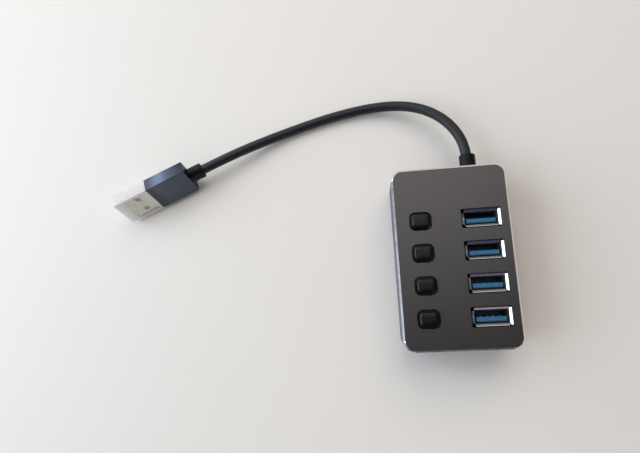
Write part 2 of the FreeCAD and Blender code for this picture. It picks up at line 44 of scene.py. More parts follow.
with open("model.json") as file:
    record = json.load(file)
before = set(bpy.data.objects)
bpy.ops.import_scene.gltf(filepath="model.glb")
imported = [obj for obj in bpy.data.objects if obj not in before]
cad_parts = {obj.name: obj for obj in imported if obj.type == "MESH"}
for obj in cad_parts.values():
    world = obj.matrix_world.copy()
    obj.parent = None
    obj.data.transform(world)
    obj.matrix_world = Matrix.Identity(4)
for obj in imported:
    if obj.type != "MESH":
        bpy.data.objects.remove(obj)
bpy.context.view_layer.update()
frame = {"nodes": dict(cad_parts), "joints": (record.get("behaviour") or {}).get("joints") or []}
NODES = frame["nodes"]
MM = 0.001
ROWS = (1, 2, 3, 4)
GRAIN_DEPTH = 0.1 * MM                  # height of the surface grain at full strength


def new_object(name, data):
    """An object of the scene that holds this mesh, curve, light or camera."""
    made = bpy.data.objects.new(name, data)
    bpy.context.scene.collection.objects.link(made)
    return made


# ---------------------------------------------------------------- camera
camera = new_object("camera", bpy.data.cameras.new("camera"))
camera.data.sensor_width = 36.0
camera.data.lens = 25.12
camera.data.clip_start = 0.005
camera.data.clip_end = 10.0
ahead = Vector((-0.11484, 0.16174, -0.98013)).normalized()
across = ahead.cross(Vector((0.06925, 0.98556, 0.15452))).normalized()
above = across.cross(ahead)
turn = Matrix((across, above, -ahead)).transposed().to_4x4()
camera.matrix_world = Matrix.Translation((-0.03052, -0.01377, 0.19322)) @ turn
bpy.context.scene.camera = camera

# ---------------------------------------------------------------- the lead
LEAD_DIAMETER = 4.2 * MM
LEAD_POINTS = [
    (0.01025, 0.0354, 0.0100),
    (0.01025, 0.0448, 0.0100),
    (0.0066, 0.05385, 0.0099),
    (0.00005, 0.0613, 0.0088),
    (-0.0085, 0.06645, 0.0067),
    (-0.0186, 0.0691, 0.0043),
    (-0.0306, 0.0694, 0.0025),
    (-0.0441, 0.0674, 0.00215),
    (-0.0576, 0.06415, 0.00215),
    (-0.0702, 0.0604, 0.0027),
    (-0.0826, 0.05545, 0.0053),
    (-0.0954, 0.04964, 0.00777),
    (-0.10773, 0.04458, 0.00777),
]


def nurbs_line(name, points, radius):
    """A round tube along a smooth line that starts and ends at its end points."""
    curve = bpy.data.curves.new(name, "CURVE")
    curve.dimensions = "3D"
    curve.resolution_u = 12
    curve.bevel_depth = radius
    curve.bevel_resolution = 8
    curve.use_fill_caps = True
    spline = curve.splines.new("NURBS")
    spline.points.add(len(points) - 1)
    for point, place in zip(spline.points, points):
        point.co = (*place, 1.0)
    spline.order_u = 3
    spline.use_endpoint_u = True
    return new_object(name, curve)


# ---------------------------------------------------------------- materials
def add_node(tree, kind, **settings):
    node = tree.nodes.new("ShaderNode" + kind)
    for name, value in settings.items():
        setattr(node, name, value)
    return node


def remap(tree, value, inputs, interpolation="LINEAR"):
    """A Map Range node's result, with its other inputs given by name."""
    node = add_node(tree, "MapRange", interpolation_type=interpolation)
    for name, number in inputs.items():
        node.inputs[name].default_value = number
    tree.links.new(value, node.inputs["Value"])
    return node.outputs["Result"]


def scaled_color(tree, color, amount):
    """A constant colour multiplied by a value that varies."""
    node = add_node(tree, "VectorMath", operation="SCALE")
    node.inputs[0].default_value = color
    tree.links.new(amount, node.inputs["Scale"])
    return node.outputs["Vector"]


def shader(name, color, rough, metal=0.0, mottle=0.06, mottle_scale=900.0, bump=0.05,
           bump_scale=4000.0, rough_spread=0.06, **sockets):
    """A Principled surface with slow colour variation, uneven gloss and a fine grain."""
    made = bpy.data.materials.new(name)
    made.use_nodes = True
    tree = made.node_tree
    surface = tree.nodes["Principled BSDF"]
    surface.inputs["Metallic"].default_value = metal
    for socket, value in sockets.items():
        surface.inputs[socket.replace("_", " ")].default_value = value
    place = add_node(tree, "TexCoord").outputs["Object"]

    def noise(scale, detail):
        node = add_node(tree, "TexNoise")
        node.inputs["Scale"].default_value = scale
        node.inputs["Detail"].default_value = detail
        tree.links.new(place, node.inputs["Vector"])
        return node.outputs["Fac"]

    def spread(value, low, high):
        """Noise lies mostly between 0.3 and 0.7, and this stretches it from low to high."""
        return remap(tree, value, {"From Min": 0.3, "From Max": 0.7,
                                   "To Min": low, "To Max": high})

    shade = spread(noise(mottle_scale, 4.0), 1 - mottle, 1 + mottle)
    tree.links.new(scaled_color(tree, color, shade), surface.inputs["Base Color"])
    gloss = spread(noise(mottle_scale * 0.6, 3.0), max(0.0, rough - rough_spread),
                   min(1.0, rough + rough_spread))
    tree.links.new(gloss, surface.inputs["Roughness"])
    grain = add_node(tree, "Bump")
    grain.inputs["Strength"].default_value = bump
    grain.inputs["Distance"].default_value = GRAIN_DEPTH
    tree.links.new(noise(bump_scale, 2.0), grain.inputs["Height"])
    tree.links.new(grain.outputs["Normal"], surface.inputs["Normal"])
    return made


MAT = {
    "face": shader("anodised_face", (0.112, 0.106, 0.104), 0.31, 0.85, mottle=0.015,
                   rough_spread=0.02, bump=0.03),
    # the walls: the anodised grey, made bluer and less metallic than the face, a painted cool
    # reflection of the window light
    "side": shader("anodised_side_painted_cool_reflection", (0.10, 0.105, 0.135), 0.45, 0.35, mottle=0.03, bump=0.05,
                   Specular_IOR_Level=0.3),
    "polished": shader("polished_edge", (0.76, 0.75, 0.75), 0.14, 1.0, mottle=0.02,
                       rough_spread=0.02, bump=0.001),
    # dark inside faces: the hub's inner faces, and painted shade on the deeper part of the port
    # sleeves
    "inside": shader("bare_inside_and_painted_shade", (0.05, 0.05, 0.055), 0.5, 0.5),
    "cover": shader("cover_plastic", (0.028, 0.028, 0.031), 0.58, bump=0.35, bump_scale=2500.0),
    "screw": shader("screw_steel", (0.38, 0.38, 0.39), 0.32, 1.0, bump=0.1),
    "foot": shader("foot_rubber", (0.02, 0.02, 0.02), 0.85, bump=0.3),
    "board": shader("board_mask", (0.012, 0.085, 0.04), 0.3, mottle=0.12, mottle_scale=500.0),
    "chip": shader("chip_resin", (0.02, 0.02, 0.022), 0.55, bump=0.3),
    "can": shader("can_metal", (0.62, 0.62, 0.64), 0.28, 1.0),
    "ceramic": shader("chip_ceramic", (0.42, 0.30, 0.18), 0.45),
    "plated": shader("plated_steel", (0.80, 0.78, 0.77), 0.15, 1.0, mottle=0.03,
                     rough_spread=0.03, bump=0.02),
    "blue": shader("blue_insulator", (0.032, 0.135, 0.26), 0.36, mottle=0.08),
    "slate": shader("plug_insulator_plastic", (0.030, 0.045, 0.060), 0.45, mottle=0.08),
    "gold": shader("gold_plating", (0.30, 0.21, 0.10), 0.45, 1.0),
    "switch": shader("switch_plastic", (0.02, 0.02, 0.022), 0.5),
    "stem": shader("stem_plastic", (0.6, 0.6, 0.57), 0.4),
    "spring": shader("spring_wire", (0.55, 0.55, 0.56), 0.25, 1.0),
    "button": shader("button_plastic", (0.004, 0.004, 0.005), 0.26, mottle=0.1, bump=0.01,
                     Specular_IOR_Level=0.32),
    "jacket": shader("jacket", (0.012, 0.013, 0.015), 0.42, mottle=0.1, bump=0.15,
                     Specular_IOR_Level=0.42),
    "collar": shader("collar", (0.003, 0.005, 0.007), 0.42, mottle=0.1, bump=0.10,
                     Specular_IOR_Level=0.18),
    "wire": shader("wire_sleeve", (0.42, 0.05, 0.04), 0.35),
    "plug": shader("plug_anodised", (0.074, 0.088, 0.118), 0.33, 0.8, mottle=0.03, bump=0.03),
    "filling": shader("plug_filling", (0.05, 0.05, 0.05), 0.6),
    "clear": shader("clear_wall", (0.84, 0.82, 0.73), 0.22, mottle=0.03, bump=0.02, Alpha=0.29),
    # the cap's pale clear plastic, whiter and less clear at the margins beside the metal: painted
    # brightening
    "margin_painted_brightening": shader("clear_margin_painted_brightening", (0.94, 0.93, 0.90), 0.25, mottle=0.03, bump=0.02, Alpha=0.55),
    # the same pale clear plastic, whiter on the narrow sides and the closed end: painted sheen
    # along the edges
    "edge_painted_sheen": shader("clear_edge_painted_sheen", (0.80, 0.79, 0.77), 0.25, mottle=0.03, bump=0.02, Alpha=0.60),
    "floor": shader("pale_table", (0.815, 0.795, 0.765), 0.55, mottle=0.01, mottle_scale=6.0,
                    bump=0.02, rough_spread=0.03),
}


def dress(piece, *names):
    """Gives the piece these materials, by their names in MAT."""
    piece.data.materials.clear()
    for name in names:
        piece.data.materials.append(MAT[name])


# ---------------------------------------------------------------- mesh helpers
def new_piece(name, bm, outwards=True):
    """An object with this mesh, whose faces are turned outwards unless it is an open sheet."""
    mesh = bpy.data.meshes.new(name)
    if outwards:
        bmesh.ops.recalc_face_normals(bm, faces=bm.faces)
    bm.to_mesh(mesh)
    bm.free()
    return new_object(name, mesh)


def close_ends(bm, rings):
    """A face across the first ring of vertices and across the last."""
    bm.faces.new(rings[0][::-1])
    bm.faces.new(rings[-1])


def outline(width, depth, radius, steps=10):
    """A rectangle with round corners as a list of (x, y), anticlockwise from the +X side."""
    points = []
    for index, (sx, sy) in enumerate(((1, 1), (-1, 1), (-1, -1), (1, -1))):
        cx = sx * (width / 2 - radius)
        cy = sy * (depth / 2 - radius)
        for step in range(steps + 1):
            angle = math.radians(90 * index + 90 * step / steps)
            points.append((cx + radius * math.cos(angle), cy + radius * math.sin(angle)))
    return points


def bridge(bm, rings):
    """Quads between each ring of vertices and the next."""
    count = len(rings[0])
    for low, high in zip(rings, rings[1:]):
        for i in range(count):
            j = (i + 1) % count
            bm.faces.new((low[i], low[j], high[j], high[i]))


def add_loft(bm, levels, closed=True, steps=10, center=(0, 0)):
    """Rings of rounded rectangles (width, depth, radius, z) in millimetres, joined in order."""
    rings = []
    for width, depth, radius, z in levels:
        rings.append([bm.verts.new(((x + center[0]) * MM, (y + center[1]) * MM, z * MM))
                      for x, y in outline(width, depth, radius, steps)])
    bridge(bm, rings)
    if closed:
        close_ends(bm, rings)


def loft_piece(name, levels, **options):
    bm = bmesh.new()
    add_loft(bm, levels, **options)
    return new_piece(name, bm)


def add_turned(bm, profile, segments=64):
    """A (radius, height) profile in millimetres turned about Z, closed at both ends."""
    rings = []
    for radius, height in profile:
        rings.append([bm.verts.new((radius * MM * math.cos(2 * math.pi * k / segments),
                                    radius * MM * math.sin(2 * math.pi * k / segments),
                                    height * MM))
                      for k in range(segments)])
    bridge(bm, rings)
    close_ends(bm, rings)


@contextmanager
def mesh_of(piece):
    """Gives the piece's mesh to edit, and stores it again afterwards."""
    bm = bmesh.new()
    bm.from_mesh(piece.data)
    yield bm
    bm.to_mesh(piece.data)
    bm.free()


def apply_modifiers(piece):
    """Turns what the modifiers show into the piece's own mesh."""
    bpy.context.view_layer.update()
    seen = piece.evaluated_get(bpy.context.evaluated_depsgraph_get())
    mesh = bpy.data.meshes.new_from_object(seen)
    piece.modifiers.clear()
    piece.data = mesh


def carve(piece, others, operation="DIFFERENCE"):
    """Takes the other pieces' solids from this one, or with UNION adds them to it."""
    for other in others:
        cut = piece.modifiers.new("cut", "BOOLEAN")
        cut.operation = operation
        cut.solver = "EXACT"
        cut.object = other
    apply_modifiers(piece)
    for other in others:
        bpy.data.objects.remove(other)


def smooth_by_angle(piece, angle):
    """Smooth shading, broken where two faces meet at more than angle degrees."""
    for face in piece.data.polygons:
        face.use_smooth = True
    piece.data.set_sharp_from_angle(angle=math.radians(angle))


def even_shading(piece):
    """Keeps flat faces flat in the shading, beside their rounded edges."""
    weighted = piece.modifiers.new("shading", "WEIGHTED_NORMAL")
    weighted.keep_sharp = True
    weighted.weight = 100
    apply_modifiers(piece)


def soften(piece, width):
    """Small rounded edges wherever the faces meet sharply."""
    bevel = piece.modifiers.new("edges", "BEVEL")
    bevel.width = width * MM
    bevel.segments = 2
    bevel.limit_method = "ANGLE"
    bevel.angle_limit = math.radians(32)
    bevel.use_clamp_overlap = True
    apply_modifiers(piece)
    smooth_by_angle(piece, 40)
    even_shading(piece)


def round_over(width, depth, radius, top, edge, steps=6):
    """Loft levels that round a prism's top edge over, as a quarter circle."""
    levels = []
    for step in range(steps + 1):
        angle = math.radians(90 * step / steps)
        shrink = edge * (1 - math.cos(angle))
        levels.append((width - 2 * shrink, depth - 2 * shrink, max(radius - shrink, 0.2),
                       top - edge + edge * math.sin(angle)))
    return levels


def settle(piece, body, slot, *nodes):
    """Says which body the piece moves with, and hides the nodes it stands for. The slot argument
    is not used.
    """
    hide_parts(*nodes)
    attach(piece, body)


def middle(node):
    low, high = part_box(node)
    return (low + high) / 2


# ---------------------------------------------------------------- casing
shell_low, shell_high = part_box("top_shell")
WIDTH = (shell_high.x - shell_low.x) / MM
LENGTH = (shell_high.y - shell_low.y) / MM
TOP = shell_high.z / MM
BOTTOM = shell_low.z / MM
CHAMFER = 0.7                   # of the top edge
CORNER = 4.4
WALL = 1.3
PLATE = 1.5                     # thickness of the top
BUTTON_HOLE = (8.6, 7.3, 2.3)   # width, depth and corner radius
PORTS = [middle("port_shell_%d" % row) for row in ROWS]
BUTTONS = [middle("button_cap_%d" % row) for row in ROWS]
mouth_low, mouth_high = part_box("port_shell_1")
MOUTH = ((mouth_high.x - mouth_low.x) / MM, (mouth_high.y - mouth_low.y) / MM)
LIP_TOP = mouth_high.z / MM
HOLE_GAP = 0.2                  # round the mouth of a port
PORT_HOLE = (MOUTH[0] + 2 * HOLE_GAP, MOUTH[1] + 2 * HOLE_GAP, 0.7)
PAST = 1.0                      # how far a cutter goes beyond the surface that it opens
GLAND_RADIUS = 3.2              # of the collar round the lead


def hole(place, size):
    """A cutter through the top plate at a place in metres."""
    return loft_piece("hole", [(*size, TOP - PLATE - PAST), (*size, TOP + PAST)],
                      center=(place.x / MM, place.y / MM), steps=8)


casing = loft_piece("casing", [
    (WIDTH, LENGTH, CORNER, BOTTOM),
    (WIDTH, LENGTH, CORNER, TOP - CHAMFER),
    (WIDTH - 2 * CHAMFER, LENGTH - 2 * CHAMFER, CORNER - CHAMFER, TOP),
], steps=16)
cutters = [loft_piece("cavity", [
    (WIDTH - 2 * WALL, LENGTH - 2 * WALL, CORNER - WALL, BOTTOM - PAST),
    (WIDTH - 2 * WALL, LENGTH - 2 * WALL, CORNER - WALL, TOP - PLATE),
])]
cutters += [hole(port, PORT_HOLE) for port in PORTS]
cutters += [hole(button, BUTTON_HOLE) for button in BUTTONS]
gland_hole = bmesh.new()
add_turned(gland_hole, [(GLAND_RADIUS, -2.0), (GLAND_RADIUS, 2.0)])
lead_out = Matrix.Translation((LEAD_POINTS[0][0], shell_high.y, LEAD_POINTS[0][2])) \
    @ Matrix.Rotation(-math.pi / 2, 4, "X")
bmesh.ops.transform(gland_hole, verts=gland_hole.verts, matrix=lead_out)
cutters.append(new_piece("gland_hole", gland_hole))
carve(casing, cutters)
soften(casing, 0.10)
dress(casing, "face", "side", "polished", "inside")
FACE, SIDE, POLISHED, INSIDE = range(4)
RIM = CHAMFER + 0.1             # width of the band that holds the chamfer and the walls
for face in casing.data.polygons:
    spot = face.center / MM
    from_side = abs(spot.x) - WIDTH / 2
    from_end = abs(spot.y) - LENGTH / 2
    outer = from_side > -RIM or from_end > -RIM \
        or math.hypot(from_side + CORNER, from_end + CORNER) > CORNER - RIM
    slope = face.normal.z
    if spot.z > TOP - CHAMFER - 0.06 and 0.3 < slope < 0.97 and outer:
        face.material_index = POLISHED
    elif spot.z > TOP - 0.6 and not (abs(slope) < 0.05 and outer):
        face.material_index = FACE
    # the walls take the bluer side copy of the anodised metal: a painted cool reflection
    elif outer:
        face.material_index = SIDE
    else:
        face.material_index = INSIDE
settle(casing, "hub", "casing", "top_shell")

# ---------------------------------------------------------------- ports
BOARD_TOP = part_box("main_board")[1].z / MM
OPENING = (12.5, 5.12)
SHEET = 0.3
BEND = (MOUTH[0] - OPENING[0]) / 2              # how far the lips stand out from the opening
SLEEVE_CORNER = 0.25
SLEEVE_TOP = LIP_TOP - BEND - 0.55
TRIM_PAINTED_SHADE_BELOW = LIP_TOP - BEND - 0.3        # below this the sleeve gets the dark inside material, painted shade deep in the port
FOLD = 0.35                                     # radius where a lip leaves its wall
FLANGE_SLOPE = 52.0                             # from upright
FLANGES = ((6.3, BEND), (12.4, BEND),           # length and reach of the lips at +X, +Y,
           (4.4, BEND), (12.3, 0.75))           # -X and -Y
FLANGE_CORNER = 0.45                            # radius of a lip's corners, from above
FLANGE_ROOT = 0.6                               # of a lip, inside the sleeve's wall
FLANGE_FLAT = 0.8                               # the sloping part's share of what is past the fold
WINDOW = (2.0, 3.2, 9.8)                        # width, top and foot below the lip
WINDOW_X = 3.2
LEAF_WIDTH = 1.4                                # at its foot
LEAF_SPRING = 0.4                               # how far it is pressed inwards, about


def add_flange(bm, length, reach, wall, turned):
    """A lip bent outwards from one wall of the mouth, which is wall away from the middle."""
    # (out, up): straight up inside the wall, round the fold, up the slope, and over the rim
    path = [(0.0, -FLANGE_ROOT)]
    path += [(FOLD * (1 - math.cos(a)), FOLD * math.sin(a)) for a in
             (math.radians(FLANGE_SLOPE * step / 5) for step in range(6))]
    out, up = path[-1]
    run = (reach - out) * FLANGE_FLAT
    roll = reach - out - run
    rise = run / math.tan(math.radians(FLANGE_SLOPE))
    path += [(out + run * part, up + rise * part) for part in (0.06, 0.94, 1.0)]
    out, up = path[-1]
    path += [(out + roll * step / 3, up + roll * 0.5 * (step / 3) * (1 - 0.4 * step / 3))
             for step in range(1, 4)]
    rise = path[-1][1]
    columns = 10
    rows = []
    for out, up in path:
        inset = 0.0
        past = out - (reach - FLANGE_CORNER)
        if past > 0:
            inset = FLANGE_CORNER - math.sqrt(max(FLANGE_CORNER ** 2 - past ** 2, 0.0))
        half = length / 2 - inset
        row = []
        for column in range(columns + 1):
            along = half * (2 * column / columns - 1)
            spot = turned @ Vector((wall + out, along, 0))
            row.append(bm.verts.new((spot.x * MM, spot.y * MM, (LIP_TOP - rise + up) * MM)))
        rows.append(row)
    for low, high in zip(rows, rows[1:]):
        for k in range(columns):
            bm.faces.new((low[k], low[k + 1], high[k + 1], high[k]))


def add_leaf(bm, x, side):
    """A sprung tongue in a window of a wide wall, its free end pressed inwards."""
    foot = LIP_TOP - WINDOW[2] - 0.1
    head = LIP_TOP - WINDOW[1] - 0.4
    rings = []
    for step in range(7):
        t = step / 6
        wall = side * (OPENING[1] / 2 - LEAF_SPRING * t * t * (1.6 - 0.9 * t))
        half = LEAF_WIDTH / 2 - 0.12 * t
        height = foot + (head - foot) * t
        corners = ((-half, 0), (half, 0), (half, side * SHEET), (-half, side * SHEET))
        rings.append([bm.verts.new(((x + dx) * MM, (wall + dy) * MM, height * MM))
                      for dx, dy in corners])
    bridge(bm, rings)
    close_ends(bm, rings)


def port_trim(name):
    """A folded sheet sleeve with four bent lips round its mouth and four sprung windows."""
    sleeve = bmesh.new()
    add_loft(sleeve, [(*OPENING, SLEEVE_CORNER, BOARD_TOP), (*OPENING, SLEEVE_CORNER, SLEEVE_TOP)],
             closed=False, steps=4)
    bmesh.ops.reverse_faces(sleeve, faces=sleeve.faces)
    for side, (length, reach) in enumerate(FLANGES):
        add_flange(sleeve, length, reach, OPENING[side % 2] / 2,
                   Matrix.Rotation(side * math.pi / 2, 3, "Z"))
    piece = new_piece(name, sleeve, outwards=False)
    thick = piece.modifiers.new("sheet", "SOLIDIFY")
    thick.thickness = SHEET * MM
    thick.offset = 1.0
    apply_modifiers(piece)
    # a window's cutter goes through both wide walls
    width, top, foot = WINDOW
    through = (width, 2 * OPENING[1], 0.2)
    carve(piece, [loft_piece("window", [(*through, LIP_TOP - foot), (*through, LIP_TOP - top)],
                             center=(x, 0), steps=2) for x in (-WINDOW_X, WINDOW_X)])
    leaves = bmesh.new()
    for x, side in product((-WINDOW_X, WINDOW_X), (-1, 1)):
        add_leaf(leaves, x, side)
    bmesh.ops.recalc_face_normals(leaves, faces=leaves.faces)
    leaves.from_mesh(piece.data)
    leaves.to_mesh(piece.data)
    leaves.free()
    return piece


for row, port in zip(ROWS, PORTS):
    trim = port_trim("port_trim_%d" % row)
    smooth_by_angle(trim, 50)
    dress(trim, "plated", "inside")
    # the sleeve's deeper part gets the dark inside material: painted shade in the port
    for face in trim.data.polygons:
        face.material_index = 1 if face.center.z < TRIM_PAINTED_SHADE_BELOW * MM else 0
    trim.location = (port.x, port.y, 0)
    settle(trim, "hub", "plated_steel", "port_shell_%d" % row)

# ---------------------------------------------------------------- tongues in the ports
BLOCK = (OPENING[0] - 0.1, OPENING[1] - 0.1, 0.2)      # fills the foot of the sleeve
BLOCK_TOP = BOARD_TOP + 1.3
TONGUE_WIDTH = 11.1
TONGUE_THICKNESS = 1.84
TONGUE_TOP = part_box("port_tongue_1")[1].z / MM
TONGUE_EDGE = 0.1
# from the port's middle, with 0.65 mm between the tongue and the nearer wide wall
TONGUE_SHIFT = 0.65 + TONGUE_THICKNESS / 2 - OPENING[1] / 2
for row, port in zip(ROWS, PORTS):
    x, y = port.x / MM, port.y / MM
    # straight, then tapered at its tip: what each level loses in width and thickness
    tongue = loft_piece("tongue_%d" % row, [
        (TONGUE_WIDTH - narrower, TONGUE_THICKNESS - thinner, TONGUE_EDGE, z)
        for narrower, thinner, z in ((0, 0, BLOCK_TOP), (0, 0, TONGUE_TOP - 0.55),
                                     (0.5, 0.75, TONGUE_TOP - 0.06), (0.7, 0.9, TONGUE_TOP))],
        center=(x, y + TONGUE_SHIFT), steps=3)
    carve(tongue, [loft_piece("block", [(*BLOCK, BOARD_TOP), (*BLOCK, BLOCK_TOP)],
                              center=(x, y), steps=3)], operation="UNION")
    smooth_by_angle(tongue, 20)
    dress(tongue, "blue")
    settle(tongue, "hub", "blue_insulator", "port_tongue_%d" % row)

# ---------------------------------------------------------------- buttons
button_low, button_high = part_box("button_cap_1")
BUTTON_TOP = button_high.z / MM
SKIRT_BOTTOM = button_low.z / MM
BUTTON_SIZE = (7.0, 5.8, 1.8)   # width, depth and corner radius
BUTTON_FLANGE = (9.6, 8.3, 2.3) # stops it under the top plate
FLANGE_TOP = TOP - PLATE - 0.05
FLANGE_BOTTOM = FLANGE_TOP - 0.8
BUTTON_EDGE = 1.05              # radius of the rounded top edge
BUTTON_CROWN = 0.06             # how far the middle of the top swells
SOCKET = (3.4, 3.4, 0.05)       # that holds the switch's stem
SOCKET_TOP = BUTTON_TOP - 1.2
for row, button in zip(ROWS, BUTTONS):
    center = (button.x / MM, button.y / MM)
    cap = loft_piece("button_%d" % row, [
        (*BUTTON_SIZE, SKIRT_BOTTOM), (*BUTTON_SIZE, FLANGE_BOTTOM),
        (*BUTTON_FLANGE, FLANGE_BOTTOM), (*BUTTON_FLANGE, FLANGE_TOP),
        (*BUTTON_SIZE, FLANGE_TOP),
        *round_over(*BUTTON_SIZE, BUTTON_TOP - BUTTON_CROWN, BUTTON_EDGE),
        (3.2, 2.2, 0.5, BUTTON_TOP - 0.01), (1.2, 0.8, 0.2, BUTTON_TOP),
    ], center=center)
    carve(cap, [loft_piece("socket", [(*SOCKET, SKIRT_BOTTOM - PAST), (*SOCKET, SOCKET_TOP)],
                           center=center, steps=2)])
    smooth_by_angle(cap, 50)
    dress(cap, "button")
    settle(cap, "button_%d" % row, "buttons", "button_cap_%d" % row)

# ---------------------------------------------------------------- switch springs
COIL_TURNS = 2.5
COIL_RADIUS = 2.0 * MM          # to the middle of the wire
COIL_WIRE = 0.2 * MM            # radius of the wire


def add_coil(bm, center, low, high, bends=60, sides=8):
    """A round wire wound about a vertical line through center, between two heights."""
    rings = []
    for bend in range(bends + 1):
        angle = 2 * math.pi * COIL_TURNS * bend / bends
        outward = Vector((math.cos(angle), math.sin(angle), 0))
        height = low + COIL_WIRE + (high - low - 2 * COIL_WIRE) * bend / bends
        spot = Vector((center.x, center.y, height)) + outward * COIL_RADIUS
        turns = [2 * math.pi * side / sides for side in range(sides)]
        rings.append([bm.verts.new(spot + COIL_WIRE * (outward * math.cos(t)
                                                       + Vector((0, 0, math.sin(t)))))
                      for t in turns])
    bridge(bm, rings)
    close_ends(bm, rings)


for row, button in zip(ROWS, BUTTONS):
    low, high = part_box("switch_spring_%d" % row)
    bm = bmesh.new()
    add_coil(bm, button, low.z, high.z)
    coil = new_piece("spring_%d" % row, bm)
    smooth_by_angle(coil, 60)
    dress(coil, "spring")
    settle(coil, "hub", "spring_wire", "switch_spring_%d" % row)
    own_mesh(coil)

# ---------------------------------------------------------------- plug
SLIVER = 0.004                  # shorter edges than this are merged away
PLUG_ROLL = 68.0                # degrees about its own axis
HOUSING = (18.4, 14.4, 6.4)     # length, width and thickness
HOUSING_WALL = 0.8
HOUSING_CORNER = 0.35
REAR_CHAMFER = 0.3
CAP_LENGTH = 16.0
CAP_GAP = 0.1                   # to the housing
CAP_RIM = 0.9                   # where the whiter band at its open end stops, a painted brightening
CAP_END_WALL = 1.0
CAP_END_CORNER = 1.0
CAP_ROOM = (12.5, 5.0, 0.5)     # width, thickness and corner radius
CAP_METAL = (12.0, 12.3)        # the metal plug's length, and its width seen through the wall
RELIEF = (6.6, 5.6, 2.4)        # width, thickness and corner radius
cap_pull = next(joint for joint in frame["joints"] if joint["name"] == "cap_pull")
out_of_plug = Vector(cap_pull["axis"])
heading = math.atan2(-out_of_plug.y, -out_of_plug.x)
plug_turn = Matrix.Rotation(heading, 4, "Z") @ Matrix.Rotation(math.radians(PLUG_ROLL), 4, "X")
# the plug's own axes: X to the lead, Y across, Z through, from the housing's front face
plug_frame = Matrix.Translation(middle("plug_housing")) @ plug_turn \
    @ Matrix.Translation((-HOUSING[0] / 2 * MM, 0, 0))
to_lead, across_plug, through_plug = (plug_turn.to_3x3().col[axis] for axis in range(3))
# lofts rise along Z, so this lays them along the plug's X axis
lay_down = Matrix(((0, 0, 1, 0), (0, 1, 0, 0), (-1, 0, 0, 0), (0, 0, 0, 1)))


def bar(name, levels, steps=8):
    """A loft along the plug's X axis through (u, width, thickness, corner)."""
    piece = loft_piece(name, [(thick, wide, corner, u) for u, wide, thick, corner in levels],
                       steps=steps)
    piece.data.transform(plug_frame @ lay_down)
    return piece


def rounded_away(size, radius, past):
    """What is left of size where both its ends round away, past beyond the rounding's start."""
    return size - 2 * (radius - math.sqrt(max(radius ** 2 - max(past, 0.0) ** 2, 0.0)))


length, width, thickness = HOUSING
OUTER = (width, thickness, HOUSING_CORNER)
ROOM = (width - 2 * HOUSING_WALL, thickness - 2 * HOUSING_WALL, 0.3)
housing = bar("plug_body", [
    (0, *OUTER), (length - REAR_CHAMFER, *OUTER),
    (length, width - 2 * REAR_CHAMFER, thickness - 2 * REAR_CHAMFER, 0.1)])
carve(housing, [
    bar("room", [(-PAST, *ROOM), (length - HOUSING_WALL, *ROOM)]),
    bar("exit", [(length - 2, *RELIEF), (length + PAST, *RELIEF)])])
soften(housing, 0.12)
# the rounding leaves slivers at the corners of the lead's exit
with mesh_of(housing) as bm:
    bmesh.ops.dissolve_degenerate(bm, dist=SLIVER * MM, edges=bm.edges)
dress(housing, "plug", "collar")
# the faces toward the lead take the dark collar material: painted shade on the housing's rear end
for face in housing.data.polygons:
    face.material_index = 1 if face.normal.dot(to_lead) > 0.95 else 0
settle(housing, "hub", "plug_body", "plug_housing")

rounding = -CAP_LENGTH + CAP_END_CORNER         # where the cap's closed end starts to round
levels = [(-CAP_GAP, *OUTER), (-CAP_RIM, *OUTER), (rounding, *OUTER)]
for step in range(1, 9):
    past = CAP_END_CORNER * math.sin(math.radians(90 * step / 8))
    thin = rounded_away(thickness, HOUSING_CORNER, past - CAP_END_CORNER + HOUSING_CORNER)
    levels.append((rounding - past, rounded_away(width, CAP_END_CORNER, past),
                   thin, HOUSING_CORNER * min(1.0, thin / thickness + 0.1)))
cap = bar("clear_cap", levels[::-1])
carve(cap, [bar("cap_room", [(-CAP_LENGTH + CAP_END_WALL, *CAP_ROOM), (PAST, *CAP_ROOM)])])
# the walls are cut along the metal plug's outline, so that their margins can be whiter and less
# clear than over the metal, a painted brightening
with mesh_of(cap) as bm:
    for u, v, facing in ((-CAP_METAL[0], 0, to_lead), (0, CAP_METAL[1] / 2, across_plug),
                         (0, -CAP_METAL[1] / 2, across_plug)):
        bmesh.ops.bisect_plane(bm, geom=bm.verts[:] + bm.edges[:] + bm.faces[:], dist=1e-7,
                               plane_co=plug_frame @ Vector((u * MM, v * MM, 0)),
                               plane_no=facing)
smooth_by_angle(cap, 35)
even_shading(cap)
dress(cap, "clear", "margin_painted_brightening", "edge_painted_sheen")
CLEAR, MARGIN_PAINTED_BRIGHTENING, EDGE_PAINTED_SHEEN = range(3)
for face in cap.data.polygons:
    spot = plug_frame.inverted() @ face.center / MM
    over_metal = -CAP_METAL[0] < spot.x < -CAP_RIM and abs(spot.y) < CAP_METAL[1] / 2
    if abs(face.normal.dot(through_plug)) < 0.9:
        # whiter narrow sides and end: painted sheen along the edges
        face.material_index = EDGE_PAINTED_SHEEN
    else:
        # whiter, less clear margins beside the metal: painted brightening
        face.material_index = CLEAR if over_metal else MARGIN_PAINTED_BRIGHTENING
settle(cap, "cap", "clear_cap", "plug_cap")

# ---------------------------------------------------------------- CAD nodes that stay
STAYING = {
    "bottom_cover": "cover", "cover_screws": "screw", "rubber_feet": "foot",
    "main_board": "board", "hub_controller": "chip", "crystal": "can",
    "voltage_regulator": "chip", "bulk_capacitors": "can", "ceramic_capacitors": "ceramic",
    "cable_gland": "collar", "hub_wires": "wire",
    "plug_core": "filling", "plug_strain_relief": "collar", "plug_shell": "plated",
    "plug_insulator": "slate", "plug_contacts": "gold", "plug_wires": "wire",
}
for row in ROWS:
    STAYING["port_contacts_%d" % row] = "gold"
    STAYING["switch_housing_%d" % row] = "switch"
    STAYING["switch_plunger_%d" % row] = "stem"
for node, name in STAYING.items():
    dress(NODES[node], name)

